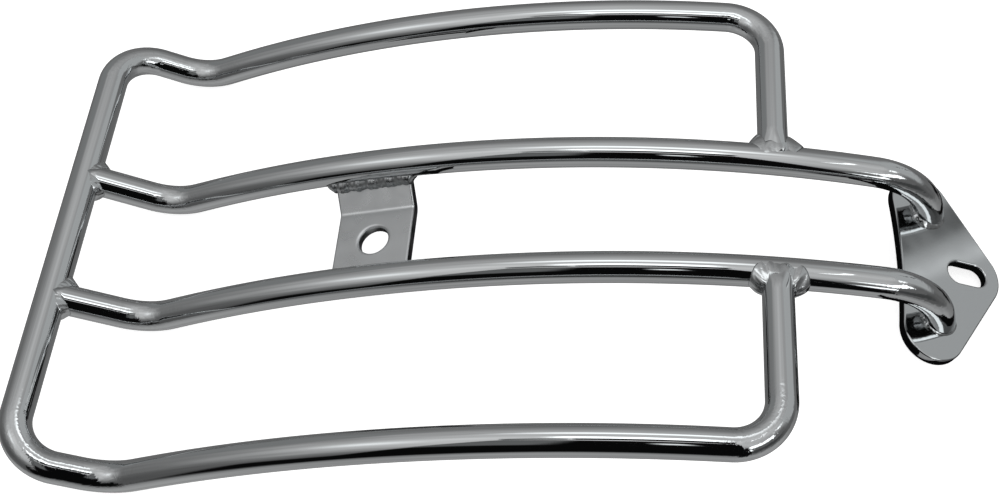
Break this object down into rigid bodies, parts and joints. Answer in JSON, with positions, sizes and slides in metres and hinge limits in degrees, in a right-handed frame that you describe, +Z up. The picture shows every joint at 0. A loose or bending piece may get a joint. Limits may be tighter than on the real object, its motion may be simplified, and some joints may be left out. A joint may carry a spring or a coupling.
{
  "type": "motorcycle luggage rack",
  "caption": "Chromed rod luggage rack for the rear mudguard of a motorcycle, with a bent hoop, inner rails, a drilled cross strap and a slotted front plate, welded together.",
  "frame": {"origin": "centre of the footprint, on the surface that the rack stands on", "axes": "+X forward, from the rear bar to the front plate; +Y to the left; +Z up"},
  "size_m": [0.4034, 0.2186, 0.0602],
  "materials": {
    "rod_chrome": "bright chrome plate on polished round bar",
    "plate_chrome": "bright chrome plate on polished flat bar",
    "weld_chrome": "chrome plate over rough weld beads"
  },
  "bodies": {
    "root": {"hoop": "rod_chrome", "rail_left": "rod_chrome", "rail_right": "rod_chrome", "cross_strap": "plate_chrome", "front_plate": "plate_chrome", "rear_weld_left": "weld_chrome", "rear_weld_right": "weld_chrome", "hoop_weld_left": "weld_chrome", "hoop_weld_right": "weld_chrome", "strap_weld_left": "weld_chrome", "strap_weld_right": "weld_chrome", "plate_weld_left": "weld_chrome", "plate_weld_right": "weld_chrome"}
  },
  "joints": []
}
